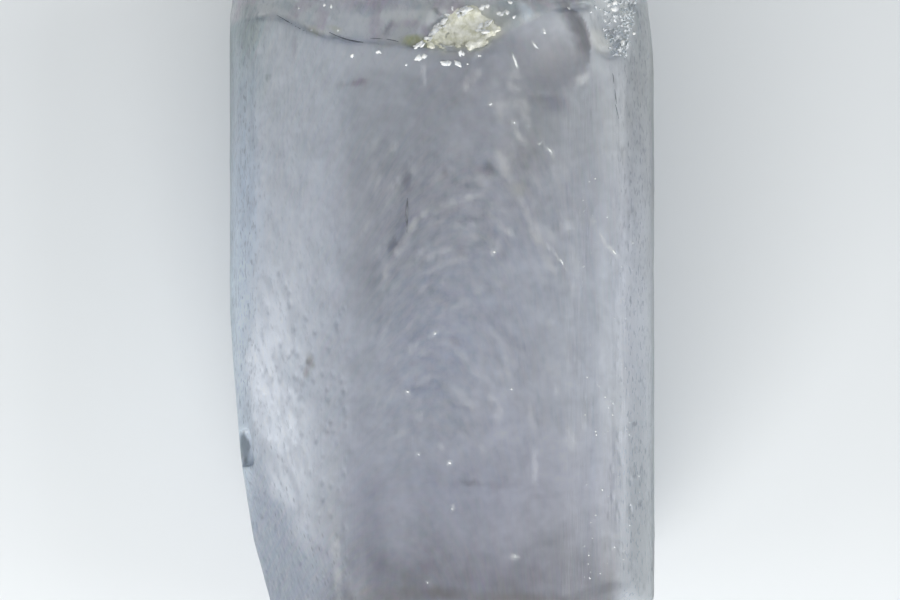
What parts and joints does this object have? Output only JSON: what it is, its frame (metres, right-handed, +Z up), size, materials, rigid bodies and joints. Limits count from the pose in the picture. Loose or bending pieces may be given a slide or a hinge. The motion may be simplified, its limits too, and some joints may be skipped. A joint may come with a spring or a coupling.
{
  "type": "sillimanite crystal specimen",
  "caption": "Stout, pale grey-lavender prism of hazy sillimanite with a worn end and a broken, stained end, lying on one prism face.",
  "frame": {"origin": "under the middle of the crystal's bounding box, in the plane of the prism face that it rests on", "axes": "+Y along the crystal's c axis, towards the broken and stained end; +Z up, out of the broad upper face; +X towards its narrow striated side"},
  "size_m": [0.0074, 0.0122, 0.0058],
  "materials": {
    "sillimanite": "hazy translucent crystal, refractive index about 1.66, cool grey-lavender, satin prism faces with etch pits, glassy broken surfaces with a little cream-yellow iron stain"
  },
  "bodies": {
    "root": {"sillimanite_crystal": "sillimanite"}
  },
  "joints": []
}
